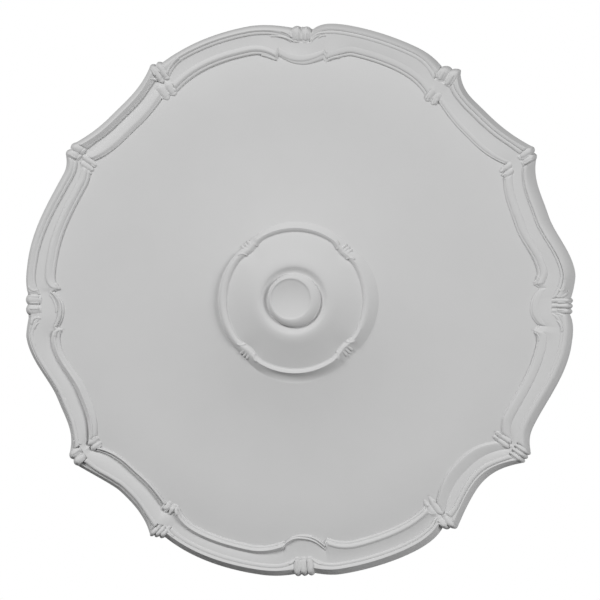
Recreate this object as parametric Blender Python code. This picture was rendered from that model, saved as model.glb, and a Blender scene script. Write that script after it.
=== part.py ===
"""Ceiling rose, one rigid moulding: a scalloped border of two ribs tied by knots, a plain dished field,
a quatrefoil ring round the middle, and a low dome with a turned button at its centre.

It stands upright as on a wall of the workshop: X to the right, Z up, the face towards -Y and the flat
back on the plane y = 0, with the origin at the middle of the back. In use that back lies on a ceiling.

Bearings are degrees clockwise from the top, as seen from the front. Radii of the border are drawn on a
sheet 480 units across, and follow ROSE_DIAMETER. Heights are measured from the back.
"""

import math
from collections import namedtuple

import bmesh
import bpy

# Driving dimensions, in metres
ROSE_DIAMETER = 0.480
BACK_DRAFT = 0.0012          # how far the outline draws in at the back, so that the casting leaves its mould
EDGE_HEIGHT = 0.0045         # height of the widest line of the rim
RIM_HEIGHT = 0.0132          # crest of the rim's roll
REED_HEIGHT = 0.0124         # crest of the small reed inside the rim's roll
CHANNEL_HEIGHT = 0.0112      # floor of the channel between rim and inner rib
RIB_HEIGHT = 0.0131          # crest of the inner rib's roll
RIB_REED_HEIGHT = 0.0121     # crest of the reed inside it
FIELD_EDGE_HEIGHT = 0.0108   # field where it meets the inner rib
KNOT_LIFT = 0.0022           # how far a knot's folds stand above the rib they wrap
KNOT_PROUD = 0.0018          # how far a rim knot's folds stand out past the rim
KNOT_CLEFT = 0.0016          # depth of the clefts between the folds
KNOT_REACH = 0.35            # how far in a cleft runs, as a share of its folds

RING_INNER_RADIUS = 0.0590   # opening of the quatrefoil ring, where a lamp's canopy plate fits
RING_WIDTH = 0.0085          # the ring's rib, measured at the middle of a lobe
RING_NECK_WIDTH = 0.0035     # the ring's rib beside the four small knots
RING_SKIRT_WIDTH = 0.0060    # sloping skirt outside the ring
RING_HEIGHT = 0.0300         # crest of the ring
RING_DROP = 0.0020           # step from the ring's crest down to the dome
RING_SKIRT_DROP = 0.0060     # step from the ring's crest down to the field
RING_KNOT_LIFT = 0.0018      # how far the ring's four small knots stand above it

DOME_RISE = 0.0080           # rise of the dome from the ring to the moat
MOAT_WIDTH = 0.0060          # groove round the button
MOAT_DEPTH = 0.0040
BUTTON_RADIUS = 0.0235
BUTTON_RISE = 0.0035         # button's lip above the top of the dome
DISH_RADIUS = 0.0183
DISH_DEPTH = 0.0036

# Profiles as shares: how far across from the outside inwards, and how high from foot to crest
RIM_ROLL = ((0.0, 0.0), (0.16, 0.62), (0.46, 1.0), (0.78, 0.97), (1.0, 0.68))
RIM_REED = ((0.55, 1.0), (1.0, 0.0))
RIB_ROLL = ((0.0, 0.0), (0.38, 1.0))
RIB_REED = ((0.2, 1.0), (1.0, 0.0))
FIELD = ((0.06, 0.10), (0.20, 0.23), (0.45, 0.345), (0.66, 0.50), (0.85, 0.745), (1.0, 1.0))
RING_SKIRT = (-0.12, 0.45)
RING_RIB = ((0.15, 0.85), (0.5, 1.0), (0.88, 0.75), (1.12, 0.0))
DOME = ((0.3, 0.38), (0.62, 0.74), (1.0, 1.0))
MOAT = ((0.25, 0.45), (0.65, 1.0), (1.0, 0.8))
BUTTON_LIP = ((0.02, 0.45), (0.08, 0.9), (0.11, 1.0), (0.22, 0.8))
DISH = ((0.8, 0.78), (0.45, 1.0), (0.0, 1.0))

# Resolution of the solid
BORDER_STEP = 2.5            # degrees between the border's even stations
CLOSEST_STEP = 0.2           # degrees, the least distance between two stations that mark a form
CLEAR_STEP = 0.9             # degrees, the least distance between an even station and a marked one
FIELD_STATIONS = 80
DOME_STATIONS = 64
BUTTON_STATIONS = 40

SHEET_UNITS_ACROSS = 480     # the radii and widths below are in parts of this many to a diameter

# A span of rib: where it starts and ends, how full it is there, and the turning points between.
# The fullness is a power: 1 runs straight into the end, 8 keeps its radius and turns in at the last.
Span = namedtuple("Span", "start start_fullness turns end_fullness end")

RIM_SPANS = {
    "north_spread": Span((3.2, 236.5), 11, [(24.5, 243.5)], 2.5, (31.8, 239.0)),
    "north_east_hollow": Span((35.5, 244.0), 3.7, [(44.7, 231.0)], 2.3, (56.8, 243.5)),
    "east_hollow": Span((59.6, 241.0), 4, [(71.5, 230.5), (84.8, 243.0)], 1.3, (89.5, 238.5)),
    "east_spread": Span((93.0, 238.0), 3.5, [(99.5, 242.0), (117.3, 233.0)], 2.6, (122.7, 241.5)),
    "south_east_hollow": Span((125.9, 241.0), 2.2, [(134.3, 226.0)], 1.7, (144.6, 241.5)),
    "south_spread": Span((147.4, 235.0), 8, [(171.0, 241.5)], 1.7, (176.3, 238.0)),
    "south_sweep": Span((180.8, 238.5), 1.9, [(187.5, 241.0)], 3.9, (209.2, 237.0)),
    "south_west_hollow": Span((212.2, 242.0), 2.6, [(223.3, 228.0)], 1.4, (233.1, 241.0)),
    "west_hollow": Span((236.4, 241.0), 4, [(247.8, 228.0), (262.5, 241.0)], 1.2, (266.3, 237.5)),
    "west_spread": Span((271.5, 237.5), 4, [(279.0, 240.0), (298.4, 234.5)], 2, (302.0, 240.5)),
    "north_west_hollow": Span((305.4, 239.0), 2.3, [(315.2, 230.0)], 3, (327.4, 241.5)),
    "north_sweep": Span((330.1, 239.0), 2.7, [(349.7, 242.5)], 1.6, (358.6, 237.5)),
}

# The inner rib is given by its inner foot. Under the four knots of the axes it swings in as a scallop.
RIB_SPANS = {
    "north_spread": Span((7.0, 208.5), 1.2, [(12.5, 218.0)], 5, (32.9, 209.0)),
    "north_east_hollow": Span((35.4, 212.0), 1.9, [(44.6, 204.5)], 2.9, (57.0, 216.0)),
    "east_hollow": Span((59.8, 208.5), 3.6, [(72.0, 200.5), (83.8, 210.5)], 1.2, (86.3, 207.0)),
    "east_scallop": Span((87.2, 211.5), 2.3, [(92.1, 203.5)], 2.1, (95.9, 211.5)),
    "east_spread": Span((97.2, 208.0), 2.6, [(99.7, 212.5), (118.6, 205.5)], 1.8, (122.8, 212.5)),
    "south_east_hollow": Span((125.1, 213.5), 2.7, [(135.1, 199.0)], 2.3, (145.2, 215.0)),
    "south_spread": Span((148.0, 212.0), 5, [(165.7, 216.0)], 2.3, (172.7, 208.5)),
    "south_scallop": Span((173.5, 213.5), 2.8, [(179.2, 204.5)], 2.1, (182.7, 210.5)),
    "south_sweep": Span((183.2, 210.0), 1.9, [(190.5, 218.0)], 6, (210.6, 207.5)),
    "south_west_hollow": Span((213.2, 211.5), 2.1, [(221.3, 205.0)], 3.5, (233.6, 217.0)),
    "west_hollow": Span((236.2, 212.0), 3.1, [(247.1, 201.5), (259.9, 212.0)], 2.7, (263.0, 207.5)),
    "west_scallop": Span((263.8, 210.5), 2.3, [(268.1, 204.5)], 2.2, (272.0, 213.0)),
    "west_spread": Span((272.8, 207.0), 7, [(281.0, 214.0), (298.6, 209.5)], 1.7, (301.6, 213.5)),
    "north_west_hollow": Span((304.2, 216.0), 3.3, [(317.6, 206.5)], 2, (326.1, 212.5)),
    "north_sweep": Span((330.0, 210.0), 3.5, [(349.1, 217.5)], 2.1, (355.1, 209.0)),
    "north_scallop": Span((355.7, 213.5), 2.3, [(361.6, 205.0)], 1.7, (366.2, 210.5)),
}

# Width of the roll and of the reed beside it, in each span
RIM_WIDTHS = {
    "north_spread": (5.5, 3.5), "north_east_hollow": (7.0, 3.5), "east_hollow": (8.0, 3.0),
    "east_spread": (6.5, 2.5), "south_east_hollow": (4.5, 2.5), "south_spread": (8.0, 4.0),
    "south_sweep": (6.5, 3.5), "south_west_hollow": (4.0, 4.0), "west_hollow": (3.5, 3.0),
    "west_spread": (6.0, 2.0), "north_west_hollow": (7.0, 2.5), "north_sweep": (5.5, 3.0),
}
RIB_WIDTHS = {
    "north_spread": (3.5, 3.0), "north_east_hollow": (2.5, 1.5), "east_hollow": (5.5, 2.5),
    "east_scallop": (3.0, 1.5), "east_spread": (6.0, 2.5), "south_east_hollow": (6.0, 2.5),
    "south_spread": (4.0, 2.5), "south_scallop": (2.5, 1.5), "south_sweep": (3.5, 2.5),
    "south_west_hollow": (3.0, 2.5), "west_hollow": (3.0, 2.5), "west_scallop": (2.5, 1.5),
    "west_spread": (6.0, 2.0), "north_west_hollow": (2.5, 1.5), "north_sweep": (3.0, 2.0),
    "north_scallop": (3.0, 1.5),
}

# A knot: its middle, half its width in degrees, its number of folds, and the radius they run in to
Knot = namedtuple("Knot", "middle half folds inner")

RIM_KNOTS = [
    Knot(361.0, 2.2, 3, 224.0), Knot(33.7, 1.8, 2, 227.5), Knot(58.2, 1.4, 2, 229.0),
    Knot(91.2, 1.7, 3, 223.0), Knot(124.3, 1.5, 3, 228.0), Knot(146.0, 1.4, 2, 226.0),
    Knot(178.5, 2.1, 3, 223.0), Knot(210.7, 1.5, 3, 231.0), Knot(234.8, 1.6, 2, 230.0),
    Knot(268.9, 2.5, 3, 223.0), Knot(303.7, 1.7, 2, 228.5), Knot(328.8, 1.4, 2, 223.0),
]
RIB_KNOTS = [
    Knot(34.2, 1.2, 2, 209.5), Knot(58.4, 1.4, 2, 209.5), Knot(124.0, 1.1, 2, 207.5),
    Knot(146.6, 1.4, 2, 205.5), Knot(211.9, 1.3, 2, 207.0), Knot(234.9, 1.3, 2, 211.5),
    Knot(302.9, 1.3, 2, 211.5), Knot(328.1, 1.9, 2, 208.0),
]


def sheet(units):
    """A length of the border's drawing, in metres at the rose's own diameter."""
    return units * ROSE_DIAMETER / SHEET_UNITS_ACROSS


def ease(t):
    """Runs from 0 to 1 with a level start and end."""
    return t * t * (3.0 - 2.0 * t)


def clockwise_from(bearing, start):
    """The same bearing, written so that it is not less than the start."""
    return start + (bearing - start) % 360.0


def span_radius(span, bearing):
    """The sheet radius of a span at a bearing that lies in it."""
    (first, first_radius), (last, last_radius) = span.turns[0], span.turns[-1]
    if bearing <= first:
        share = (first - bearing) / (first - span.start[0])
        return first_radius + (span.start[1] - first_radius) * share ** span.start_fullness
    if bearing >= last:
        share = (bearing - last) / (span.end[0] - last)
        return last_radius + (span.end[1] - last_radius) * share ** span.end_fullness
    share = (bearing - first) / (last - first)
    return first_radius + (last_radius - first_radius) * ease(share)


def along(spans, bearing, inside, between):
    """Finds the span at a bearing and calls inside(name, bearing), or between(name, next name, share)
    where the bearing falls between two spans."""
    names = list(spans)
    for name, following in zip(names, names[1:] + names[:1]):
        span = spans[name]
        here = clockwise_from(bearing, span.start[0])
        if here <= span.end[0]:
            return inside(name, here)
        gap_end = clockwise_from(spans[following].start[0], span.end[0])
        if here <= gap_end:
            return between(name, following, (here - span.end[0]) / (gap_end - span.end[0]))
    raise ValueError(f"no span at {bearing} degrees")


def line_radius(spans, bearing):
    """Radius in metres of the line that the spans draw, straight across the gaps between them."""
    def across(name, following, share):
        return spans[name].end[1] + (spans[following].start[1] - spans[name].end[1]) * share
    return sheet(along(spans, bearing, lambda name, here: span_radius(spans[name], here), across))


def line_widths(spans, widths, bearing):
    """Widths in metres of the roll and the reed at a bearing."""
    def across(name, following, share):
        return [a + (b - a) * share for a, b in zip(widths[name], widths[following])]
    return [sheet(w) for w in along(spans, bearing, lambda name, here: widths[name], across)]


def fold_at(knots, bearing):
    """How far a bearing lies up a knot's fold, 1 on its crest and 0 in its clefts, with the knot;
    None for the knot where there is none."""
    for knot in knots:
        share = ((bearing - knot.middle + knot.half) % 360.0) / (2.0 * knot.half)
        if share <= 1.0:
            return abs(math.sin(math.pi * knot.folds * share)), knot
    return 0.0, None


def knot_stations(knots, to_a_fold):
    """Bearings from cleft to cleft of the knots, so many to a fold."""
    return [
        (knot.middle - knot.half + 2.0 * knot.half * i / (knot.folds * to_a_fold)) % 360.0
        for knot in knots
        for i in range(knot.folds * to_a_fold + 1)
    ]


def apart(bearing, others, least):
    """Whether a bearing is at least so many degrees from all the others."""
    return all(abs((bearing - other + 180.0) % 360.0 - 180.0) > least for other in others)


def border_bearings():
    """Every cleft, crest and end of the ribs, filled up with even stations."""
    ends = [bearing % 360.0 for span in RIB_SPANS.values() for bearing in (span.start[0], span.end[0])]
    marked = []
    for bearing in knot_stations(RIM_KNOTS, 4) + ends + knot_stations(RIB_KNOTS, 2):
        if apart(bearing, marked, CLOSEST_STEP):
            marked.append(bearing)
    even = [i * BORDER_STEP for i in range(round(360.0 / BORDER_STEP))]
    return sorted(marked + [bearing for bearing in even if apart(bearing, marked, CLEAR_STEP)])


def profile(shares, outside, inside, low, high):
    """Points of a profile between two radii and two heights."""
    return [(outside + (inside - outside) * across, low + (high - low) * up) for across, up in shares]


def knot_lift(fold):
    """How far a knot raises the rib's crest, on a fold and in the clefts."""
    return KNOT_LIFT * fold - KNOT_CLEFT * (1.0 - fold)


def rim_section(bearing):
    """The rim along one bearing, from the back's edge to the channel."""
    fold, knot = fold_at(RIM_KNOTS, bearing)
    outline = line_radius(RIM_SPANS, bearing)
    roll, reed = line_widths(RIM_SPANS, RIM_WIDTHS, bearing)
    foot = outline - roll - reed
    lift = 0.0
    if knot:
        lift = knot_lift(fold)
        outline += KNOT_PROUD * fold
        foot += min(0.0, sheet(knot.inner) - foot) * (KNOT_REACH + (1.0 - KNOT_REACH) * fold)
    step = foot + reed
    back = [(outline - BACK_DRAFT, 0.0)]
    rim_roll = profile(RIM_ROLL, outline, step, EDGE_HEIGHT, RIM_HEIGHT + lift)
    return back + rim_roll + profile(RIM_REED, step, foot, CHANNEL_HEIGHT, REED_HEIGHT + lift / 2)


def rib_section(bearing):
    """The inner rib along one bearing, from the channel to the field; its reed drops to the field."""
    fold, knot = fold_at(RIB_KNOTS, bearing)
    foot = line_radius(RIB_SPANS, bearing)
    roll, reed = line_widths(RIB_SPANS, RIB_WIDTHS, bearing)
    lift = 0.0
    if knot:
        lift = knot_lift(fold)
        foot += (sheet(knot.inner) - foot) * fold
    step = foot + reed
    rib_roll = profile(RIB_ROLL, step + roll, step, CHANNEL_HEIGHT, RIB_HEIGHT + lift)
    return rib_roll + profile(RIB_REED, step, foot, FIELD_EDGE_HEIGHT, RIB_REED_HEIGHT + lift)


def border_section(bearing):
    """The border cut along one bearing, as (radius, height) points from the back's edge inwards."""
    return rim_section(bearing) + rib_section(bearing)


def ring_lobe(bearing):
    """1 at the middle of each of the quatrefoil's lobes, 0 at its four knots."""
    return abs(math.cos(math.radians(2.0 * bearing))) ** 0.6


def ring_outer_radius(bearing):
    """Outside of the quatrefoil ring's rib."""
    return RING_INNER_RADIUS + RING_NECK_WIDTH + (RING_WIDTH - RING_NECK_WIDTH) * ring_lobe(bearing)


def field_section(bearing):
    """The field along one bearing, from inside the inner rib to the foot of the ring's skirt."""
    skirt = ring_outer_radius(bearing) + RING_SKIRT_WIDTH
    top = RING_HEIGHT - RING_SKIRT_DROP
    return profile(FIELD, line_radius(RIB_SPANS, bearing), skirt, FIELD_EDGE_HEIGHT, top)


def ring_section(bearing):
    """The quatrefoil ring along one bearing, from its skirt inwards."""
    outer = ring_outer_radius(bearing)
    crest = RING_HEIGHT + RING_KNOT_LIFT * (1.0 - ring_lobe(bearing)) ** 2
    foot = RING_HEIGHT - RING_SKIRT_DROP
    skirt = profile([RING_SKIRT], outer, RING_INNER_RADIUS, foot, crest)
    return skirt + profile(RING_RIB, outer, RING_INNER_RADIUS, RING_HEIGHT - RING_DROP, crest)


def middle_profile():
    """The turned middle: the dome, and then the moat and the button down to the middle of its dish."""
    base = RING_HEIGHT - RING_DROP
    top = base + DOME_RISE
    lip = top + BUTTON_RISE
    moat = BUTTON_RADIUS + MOAT_WIDTH
    dome = profile(DOME, RING_INNER_RADIUS, moat, base, top)
    groove = profile(MOAT, moat, BUTTON_RADIUS, top, top - MOAT_DEPTH)
    button_lip = profile(BUTTON_LIP, BUTTON_RADIUS, 0.0, top, lip)
    return dome, groove + button_lip + profile(DISH, 0.0, DISH_RADIUS, lip, lip - DISH_DEPTH)


def even_bearings(count):
    """Evenly spaced bearings."""
    return [360.0 * i / count for i in range(count)]


def ring_of_points(bm, bearings, section):
    """Adds a closed ring of vertices; section(bearing) gives the radius and the height."""
    ring = []
    for bearing in bearings:
        radius, height = section(bearing)
        angle = math.radians(bearing)
        ring.append((bearing, bm.verts.new((radius * math.sin(angle), -height, radius * math.cos(angle)))))
    return ring


def zip_rings(bm, outer, inner):
    """Fills between two closed rings with triangles or quads, whatever their numbers of vertices."""
    def ahead(ring, index):
        return ring[index % len(ring)][0] + 360.0 * (index // len(ring))
    if [b for b, _ in outer] == [b for b, _ in inner]:
        for i in range(len(outer)):
            j = (i + 1) % len(outer)
            bm.faces.new((outer[i][1], outer[j][1], inner[j][1], inner[i][1]))
        return
    i = j = 0
    while i < len(outer) or j < len(inner):
        a, b = outer[i % len(outer)][1], inner[j % len(inner)][1]
        step_outer = j >= len(inner) or (i < len(outer) and ahead(outer, i + 1) <= ahead(inner, j + 1))
        if step_outer:
            bm.faces.new((a, outer[(i + 1) % len(outer)][1], b))
            i += 1
        else:
            bm.faces.new((a, inner[(j + 1) % len(inner)][1], b))
            j += 1


def close_ring(bm, ring, centre, facing_back=False):
    """Closes a ring with a fan round a centre point."""
    middle = bm.verts.new(centre)
    for i in range(len(ring)):
        a, b = ring[i][1], ring[(i + 1) % len(ring)][1]
        bm.faces.new((b, a, middle) if facing_back else (a, b, middle))


def rose_mesh():
    """The whole casting as one closed skin."""
    bm = bmesh.new()
    bearings = border_bearings()
    sections = {b: border_section(b) for b in bearings}
    rings = [
        ring_of_points(bm, bearings, lambda b, k=k: sections[b][k])
        for k in range(len(sections[bearings[0]]))
    ]
    close_ring(bm, rings[0], (0.0, 0.0, 0.0), facing_back=True)

    even = even_bearings(FIELD_STATIONS)
    for section in (field_section, ring_section):
        rings += [ring_of_points(bm, even, lambda b, k=k: section(b)[k]) for k in range(len(section(0.0)))]

    dome, button = middle_profile()
    rings += [ring_of_points(bm, even_bearings(DOME_STATIONS), lambda b, p=p: p) for p in dome]
    rings += [ring_of_points(bm, even_bearings(BUTTON_STATIONS), lambda b, p=p: p) for p in button[:-1]]
    for outer, inner in zip(rings, rings[1:]):
        zip_rings(bm, outer, inner)
    close_ring(bm, rings[-1], (0.0, -button[-1][1], 0.0))

    bmesh.ops.triangulate(bm, faces=bm.faces[:])
    bmesh.ops.recalc_face_normals(bm, faces=bm.faces[:])
    mesh = bpy.data.meshes.new("ceiling_rose")
    bm.to_mesh(mesh)
    bm.free()
    return mesh


def primed_white():
    """Matt factory primer on a rigid foam moulding."""
    material = bpy.data.materials.new("primed_white")
    material.use_nodes = True
    shader = material.node_tree.nodes["Principled BSDF"]
    shader.inputs["Base Color"].default_value = (0.76, 0.76, 0.75, 1.0)
    shader.inputs["Roughness"].default_value = 0.72
    shader.inputs["Metallic"].default_value = 0.0
    return material


def build_ceiling_rose():
    """Adds the moulding to the scene."""
    mesh = rose_mesh()
    mesh.materials.append(primed_white())
    mesh.shade_smooth()
    mesh.set_sharp_from_angle(angle=math.radians(35.0))
    rose = bpy.data.objects.new("ceiling_rose", mesh)
    bpy.context.scene.collection.objects.link(rose)


def main():
    for old in list(bpy.data.objects):
        bpy.data.objects.remove(old)
    build_ceiling_rose()


main()
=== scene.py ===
"""Ceiling rose: the finished look of one rigid foam moulding in matt white primer.

The rose stands upright, X to the right, Z up, its face towards -Y and its flat back on the plane y = 0.
Bearings are degrees clockwise from the top, as seen from the front. Radii and widths of the border are
drawn on a sheet 480 units across and follow the diameter. Heights are measured from the back.
"""

import math
from collections import namedtuple

import bpy
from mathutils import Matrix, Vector


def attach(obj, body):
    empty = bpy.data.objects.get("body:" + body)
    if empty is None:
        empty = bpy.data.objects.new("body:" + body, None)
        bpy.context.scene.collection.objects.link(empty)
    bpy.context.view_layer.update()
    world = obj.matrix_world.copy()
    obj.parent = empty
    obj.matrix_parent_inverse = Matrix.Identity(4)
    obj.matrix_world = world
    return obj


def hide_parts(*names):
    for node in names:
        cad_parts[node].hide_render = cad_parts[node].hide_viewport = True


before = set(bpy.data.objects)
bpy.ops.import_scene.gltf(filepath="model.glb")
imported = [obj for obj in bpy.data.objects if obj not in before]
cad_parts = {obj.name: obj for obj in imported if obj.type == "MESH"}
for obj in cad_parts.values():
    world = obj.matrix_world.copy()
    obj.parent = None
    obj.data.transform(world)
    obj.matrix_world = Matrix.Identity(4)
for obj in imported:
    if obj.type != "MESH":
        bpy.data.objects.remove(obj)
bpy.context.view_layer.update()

bl_info = {
    "name": "Ceiling rose",
    "version": (1, 0, 0),
    "blender": (4, 5, 0),
    "location": "3D View > Sidebar > Rose",
    "description": "A moulded ceiling rose with a ribbed border, folded knots and a quatrefoil ring",
    "category": "Object",
}

NODE = "ceiling_rose"
SHEET_UNITS_ACROSS = 480

# A span of rib: where it starts and ends, how full it is there, and the turning points between.
# The fullness is a power: 1 runs straight into the end, 8 keeps its radius and turns in at the last.
Span = namedtuple("Span", "start start_fullness turns end_fullness end")

RIM_SPANS = {
    "north_spread": Span((3.2, 236.5), 11, [(24.5, 243.5)], 2.5, (31.8, 239.0)),
    "north_east_hollow": Span((35.5, 244.3), 3.7, [(44.7, 231.8)], 2.3, (56.8, 244.2)),
    "east_hollow": Span((59.6, 241.2), 4, [(71.5, 230.9), (84.8, 243.3)], 1.3, (89.5, 238.5)),
    "east_spread": Span((93.0, 238.0), 3.5, [(99.5, 242.0), (117.3, 233.0)], 2.6, (122.7, 241.5)),
    "south_east_hollow": Span((125.9, 241.0), 2.2, [(134.3, 225.7)], 1.7, (144.6, 241.3)),
    "south_spread": Span((147.4, 234.8), 8, [(171.0, 241.3)], 1.7, (176.3, 238.0)),
    "south_sweep": Span((180.8, 238.6), 1.9, [(187.5, 241.3)], 3.9, (209.2, 237.3)),
    "south_west_hollow": Span((212.2, 242.0), 2.6, [(223.3, 228.4)], 1.4, (233.1, 241.2)),
    "west_hollow": Span((236.4, 241.0), 4, [(247.8, 228.2), (262.5, 241.2)], 1.2, (266.3, 237.5)),
    "west_spread": Span((271.5, 237.5), 4, [(279.0, 240.0), (298.4, 233.9)], 2, (302.0, 240.0)),
    "north_west_hollow": Span((305.4, 239.0), 2.3, [(315.2, 230.0)], 3, (327.4, 241.5)),
    "north_sweep": Span((330.1, 239.2), 2.7, [(349.7, 242.7)], 1.6, (358.6, 237.6)),
}

# The inner rib is given by its inner foot. Under the four knots of the axes it swings in as a scallop.
RIB_SPANS = {
    "north_spread": Span((7.0, 208.5), 1.2, [(12.5, 217.6)], 5, (32.9, 208.8)),
    "north_east_hollow": Span((35.4, 212.5), 1.9, [(44.6, 205.0)], 2.9, (57.0, 216.4)),
    "east_hollow": Span((59.8, 209.2), 3.6, [(72.0, 201.2), (83.8, 211.2)], 1.2, (86.3, 207.0)),
    "east_scallop": Span((87.2, 211.5), 2.3, [(92.1, 203.5)], 2.1, (95.9, 211.5)),
    "east_spread": Span((97.2, 208.0), 2.6, [(99.7, 212.5), (118.6, 205.5)], 1.8, (122.8, 212.5)),
    "south_east_hollow": Span((125.1, 212.5), 2.7, [(135.1, 197.2)], 2.3, (145.2, 214.0)),
    "south_spread": Span((148.0, 210.5), 5, [(165.7, 214.4)], 2.3, (172.7, 208.0)),
    "south_scallop": Span((173.5, 213.0), 2.8, [(179.2, 203.8)], 2.1, (182.7, 210.0)),
    "south_sweep": Span((183.2, 209.6), 1.9, [(190.5, 216.4)], 6, (210.6, 206.5)),
    "south_west_hollow": Span((213.2, 210.5), 2.1, [(221.3, 204.0)], 3.5, (233.6, 216.0)),
    "west_hollow": Span((236.2, 211.5), 3.1, [(247.1, 200.3), (259.9, 211.0)], 2.7, (263.0, 207.5)),
    "west_scallop": Span((263.8, 210.5), 2.3, [(268.1, 204.5)], 2.2, (272.0, 213.0)),
    "west_spread": Span((272.8, 207.0), 7, [(281.0, 214.0), (298.6, 210.0)], 1.7, (301.6, 213.5)),
    "north_west_hollow": Span((304.2, 216.0), 3.3, [(317.6, 205.7)], 2, (326.1, 212.5)),
    "north_sweep": Span((330.0, 209.8), 3.5, [(349.1, 217.0)], 2.1, (355.1, 209.0)),
    "north_scallop": Span((355.7, 213.5), 2.3, [(361.6, 205.0)], 1.7, (366.2, 210.5)),
}

# The profile of a span, in sheet units from its outer foot inwards: the width of the outer slope and how
# round it is (1 is a flat facet), the width of the whole roll, the height of its crest, how round it falls
# to the groove, the groove's height, the width and height of the reed inside it, and the height of the
# channel at the rib's foot.
Form = namedtuple("Form", "slope steep roll height fall groove reed reed_height foot")

# One form holds all along a span, and of two the first holds at its start and the second at its end
RIM_FORMS = {
    "north_spread": [Form(4.2, 1.2, 6.2, 13.2, 1.6, 12.4, 2.9, 12.8, 12.2)],
    "north_east_hollow": [Form(3.6, 1.03, 6.9, 13.4, 2.2, 12.3, 3.6, 12.6, 11.3)],
    "east_hollow": [Form(9.4, 1.3, 10.6, 13.2, 2.0, 12.4, 1.3, 12.3, 11.5),
                    Form(8.8, 1.3, 9.6, 13.2, 2.0, 11.9, 3.0, 12.6, 11.7)],
    "east_spread": [Form(6.2, 1.9, 7.6, 13.2, 1.8, 12.7, 2.6, 12.9, 12.4),
                    Form(7.0, 1.7, 8.6, 13.1, 1.8, 12.8, 1.4, 12.7, 12.5)],
    "south_east_hollow": [Form(4.8, 1.25, 6.4, 12.9, 1.5, 12.0, 4.4, 13.1, 12.0)],
    "south_spread": [Form(4.9, 1.0, 7.6, 13.8, 1.5, 12.1, 2.8, 12.4, 11.0)],
    "south_sweep": [Form(4.6, 1.0, 7.0, 13.8, 1.5, 11.9, 3.4, 12.3, 11.0)],
    "south_west_hollow": [Form(2.9, 1.0, 4.5, 9.8, 1.6, 9.0, 4.2, 13.3, 12.6)],
    "west_hollow": [Form(2.8, 1.0, 3.3, 10.6, 2.0, 10.5, 4.4, 13.4, 12.4),
                    Form(3.8, 1.0, 4.8, 13.2, 2.0, 12.8, 2.8, 12.9, 12.4)],
    "west_spread": [Form(2.6, 1.7, 6.8, 13.2, 1.2, 12.2, 1.8, 12.2, 11.0),
                    Form(5.6, 1.7, 7.4, 13.4, 1.4, 12.4, 2.4, 12.5, 10.9)],
    "north_west_hollow": [Form(5.4, 1.7, 8.4, 13.4, 1.0, 11.7, 1.6, 11.4, 9.8)],
    "north_sweep": [Form(4.6, 1.7, 6.1, 13.2, 1.3, 12.2, 2.7, 12.2, 11.1)],
}
RIB_FORMS = {
    "north_spread": [Form(2.6, 1.6, 5.3, 12.7, 2.0, 11.6, 2.9, 11.6, 12.6)],
    "north_east_hollow": [Form(1.8, 1.6, 3.2, 12.1, 1.6, 11.7, 1.8, 11.9, 11.8)],
    "east_hollow": [Form(3.4, 1.3, 6.8, 12.9, 2.0, 12.3, 1.8, 12.2, 11.0),
                    Form(3.0, 1.5, 6.0, 12.8, 2.0, 12.0, 2.8, 12.3, 11.4)],
    "east_scallop": [Form(4.0, 1.6, 5.0, 12.4, 2.0, 12.0, 1.8, 12.0, 12.0),
                     Form(4.0, 1.6, 6.0, 12.4, 1.4, 11.8, 2.0, 11.8, 12.0)],
    "east_spread": [Form(4.0, 1.8, 6.6, 13.0, 1.8, 12.4, 1.8, 12.2, 12.2),
                    Form(6.0, 1.5, 8.0, 12.6, 1.8, 11.9, 1.6, 11.4, 10.8)],
    "south_east_hollow": [Form(8.8, 1.1, 9.8, 12.6, 2.0, 12.0, 1.8, 11.8, 10.0)],
    "south_spread": [Form(1.7, 1.2, 4.6, 14.3, 1.6, 12.2, 2.4, 12.2, 13.2)],
    "south_scallop": [Form(1.3, 1.05, 3.2, 13.2, 1.8, 12.3, 3.2, 14.3, 11.4),
                      Form(1.9, 1.05, 2.9, 14.0, 1.8, 12.4, 1.2, 12.0, 11.8)],
    "south_sweep": [Form(2.6, 1.02, 5.0, 14.4, 1.6, 12.4, 2.4, 12.3, 11.0)],
    "south_west_hollow": [Form(1.6, 1.05, 2.8, 11.4, 1.6, 10.2, 2.9, 13.4, 9.0)],
    "west_hollow": [Form(3.4, 1.0, 4.8, 13.0, 2.0, 12.5, 4.8, 12.4, 8.2),
                    Form(3.0, 1.0, 4.6, 13.3, 2.0, 12.6, 3.4, 12.5, 10.6)],
    "west_scallop": [Form(1.8, 1.2, 3.2, 13.3, 2.0, 12.0, 2.0, 12.2, 11.6)],
    "west_spread": [Form(1.6, 1.6, 6.0, 13.2, 1.3, 12.2, 2.4, 12.2, 12.0),
                    Form(4.0, 1.2, 6.4, 13.6, 1.3, 12.3, 2.6, 12.4, 11.2)],
    "north_west_hollow": [Form(6.2, 1.12, 9.0, 13.0, 1.0, 12.0, 1.0, 12.0, 10.6)],
    "north_sweep": [Form(3.2, 1.3, 5.6, 13.4, 1.3, 12.1, 2.8, 12.0, 12.2)],
    "north_scallop": [Form(4.0, 1.6, 5.6, 12.4, 1.8, 12.0, 1.6, 11.8, 12.0),
                      Form(3.0, 1.6, 4.4, 12.8, 1.2, 12.4, 4.6, 12.3, 12.2)],
}

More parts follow.
